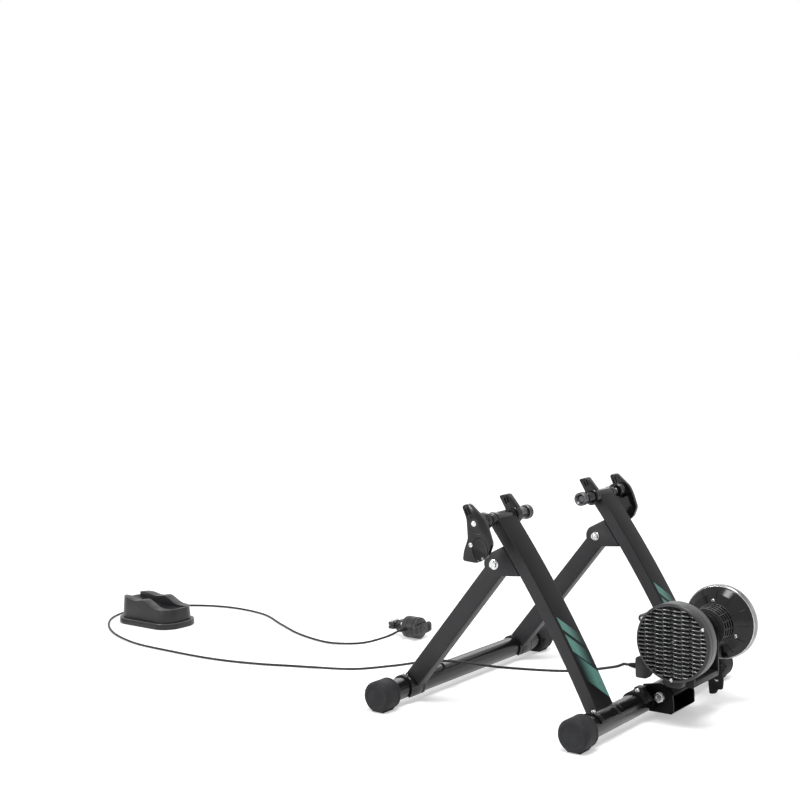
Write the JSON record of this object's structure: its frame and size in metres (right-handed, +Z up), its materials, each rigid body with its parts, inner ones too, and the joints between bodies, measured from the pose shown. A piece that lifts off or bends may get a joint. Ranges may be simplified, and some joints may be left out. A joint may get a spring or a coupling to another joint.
{
  "type": "bike_trainer",
  "caption": "Folding magnetic bike trainer: bowed A-frame with screw axle clamps, finned resistance unit with flywheel, remote lever on a cable, and a separate front wheel riser",
  "frame": {"origin": "on the floor, under the middle of the set's length and of its width (the wheel plane); the wheel axle is 0.450 m behind it", "axes": "+Z up; +X from the front wheel riser towards the resistance unit; the bike's left side is -Y"},
  "size_m": [1.6684, 0.592, 0.4077],
  "materials": {
    "tube_black": "gloss",
    "leg_grey": "satin",
    "cap_rubber": "matte",
    "zinc": "satin",
    "nylon": "satin",
    "spindle_steel": "satin",
    "gloss_black": "gloss",
    "drum_plastic": "satin",
    "cast_black": "satin",
    "bearing_steel": "polished",
    "flywheel_steel": "polished",
    "roller_alloy": "satin",
    "disc_alloy": "satin",
    "cable_jacket": "satin",
    "riser_plastic": "matte"
  },
  "bodies": {
    "rear_frame": {"rear_base_tube": "tube_black", "rear_cap_left": "cap_rubber", "rear_cap_right": "cap_rubber", "rear_saddle_left": "tube_black", "rear_saddle_right": "tube_black", "rear_leg_left": "leg_grey", "rear_leg_right": "leg_grey", "hinge_bracket_left": "leg_grey", "hinge_bracket_right": "leg_grey", "pivot_bolt_left": "zinc", "pivot_bolt_right": "zinc", "pivot_nut_left": "zinc", "pivot_nut_right": "zinc", "inner_bush_left": "nylon", "inner_bush_right": "nylon", "outer_bush_left": "nylon", "outer_bush_right": "nylon", "clamp_tube_left": "tube_black", "clamp_tube_right": "tube_black", "unit_bracket": "tube_black", "swing_bolt": "zinc", "swing_nut": "zinc", "tube_collar": "tube_black", "resistance_cable": "cable_jacket", "remote_gland": "cap_rubber", "remote_housing": "drum_plastic", "remote_band": "drum_plastic", "remote_clamp_screw_1": "zinc", "remote_clamp_screw_2": "zinc", "riser_block": "riser_plastic"},
    "front_frame": {"front_base_tube": "tube_black", "front_cap_left": "cap_rubber", "front_cap_right": "cap_rubber", "front_saddle_left": "tube_black", "front_saddle_right": "tube_black", "front_leg_left": "leg_grey", "front_leg_right": "leg_grey"},
    "swing_unit": {"drum_housing": "drum_plastic", "louvred_cover": "drum_plastic", "unit_yoke": "cast_black", "left_bearing": "bearing_steel", "right_bearing": "bearing_steel", "slotted_cage": "drum_plastic", "tension_pin": "zinc", "outlet_boot": "cap_rubber"},
    "rotor": {"unit_axle": "zinc", "roller": "roller_alloy", "brake_disc": "disc_alloy", "ribbed_dish": "gloss_black", "flywheel": "flywheel_steel"},
    "magnet_carrier": {"magnet_carrier_plate": "spindle_steel"},
    "tension_lever": {"tension_lever_plate": "drum_plastic"},
    "remote_lever": {"remote_lever_plate": "drum_plastic"},
    "clamp_slide_left": {"clamp_spindle_left": "spindle_steel"},
    "clamp_handle_left": {"clamp_handle_left_grip": "gloss_black"},
    "lock_wing_left": {"lock_wing_left_finger": "gloss_black"},
    "clamp_slide_right": {"clamp_spindle_right": "spindle_steel"},
    "clamp_handle_right": {"clamp_handle_right_grip": "gloss_black"},
    "lock_wing_right": {"lock_wing_right_finger": "gloss_black"}
  },
  "joints": [
    {"name": "fold", "type": "hinge", "parent": "rear_frame", "child": "front_frame", "pos_m": [0.45029, 0, 0.287], "axis": [0, -1, 0], "range_deg": [0, 62]},
    {"name": "unit_swing", "type": "hinge", "parent": "rear_frame", "child": "swing_unit", "pos_m": [0.68825, 0, 0.041], "axis": [0, 1, 0], "range_deg": [0, 12]},
    {"name": "roller_spin", "type": "hinge", "parent": "swing_unit", "child": "rotor", "pos_m": [0.73475, 0, 0.1535], "axis": [0, 1, 0], "continuous": true},
    {"name": "tension_cam", "type": "hinge", "parent": "swing_unit", "child": "tension_lever", "pos_m": [0.73625, 0.1, 0.066], "axis": [0, 1, 0], "range_deg": [-80, 0]},
    {"name": "magnet_turn", "type": "hinge", "parent": "swing_unit", "child": "magnet_carrier", "pos_m": [0.73475, 0, 0.1535], "axis": [0, 1, 0], "range_deg": [-30, 30]},
    {"name": "remote_shift", "type": "hinge", "parent": "rear_frame", "child": "remote_lever", "pos_m": [-0.08475, 0.215, 0.0253], "axis": [1, 0, 0], "range_deg": [-50, 50]},
    {"name": "clamp_travel_left", "type": "slide", "parent": "rear_frame", "child": "clamp_slide_left", "axis": [0, 1, 0], "range_m": [-0.006, 0.01]},
    {"name": "clamp_turn_left", "type": "hinge", "parent": "clamp_slide_left", "child": "clamp_handle_left", "pos_m": [0.45025, -0.269, 0.3687], "axis": [0, 1, 0], "range_deg": [-432, 720]},
    {"name": "lock_wing_turn_left", "type": "hinge", "parent": "rear_frame", "child": "lock_wing_left", "pos_m": [0.45025, -0.146, 0.3687], "axis": [0, 1, 0], "range_deg": [0, 75]},
    {"name": "clamp_travel_right", "type": "slide", "parent": "rear_frame", "child": "clamp_slide_right", "axis": [0, -1, 0], "range_m": [-0.006, 0.01]},
    {"name": "clamp_turn_right", "type": "hinge", "parent": "clamp_slide_right", "child": "clamp_handle_right", "pos_m": [0.45025, 0.269, 0.3687], "axis": [0, -1, 0], "range_deg": [-432, 720]},
    {"name": "lock_wing_turn_right", "type": "hinge", "parent": "rear_frame", "child": "lock_wing_right", "pos_m": [0.45025, 0.146, 0.3687], "axis": [0, 1, 0], "range_deg": [0, 75]}
  ],
  "couplings": [
    {"joint": "unit_swing", "follows": "tension_cam", "ratio": -0.15},
    {"joint": "magnet_turn", "follows": "remote_shift", "ratio": 0.6},
    {"joint": "clamp_travel_left", "follows": "clamp_turn_left", "m_per_rad": 0.00079577},
    {"joint": "clamp_travel_right", "follows": "clamp_turn_right", "m_per_rad": 0.00079577}
  ]
}
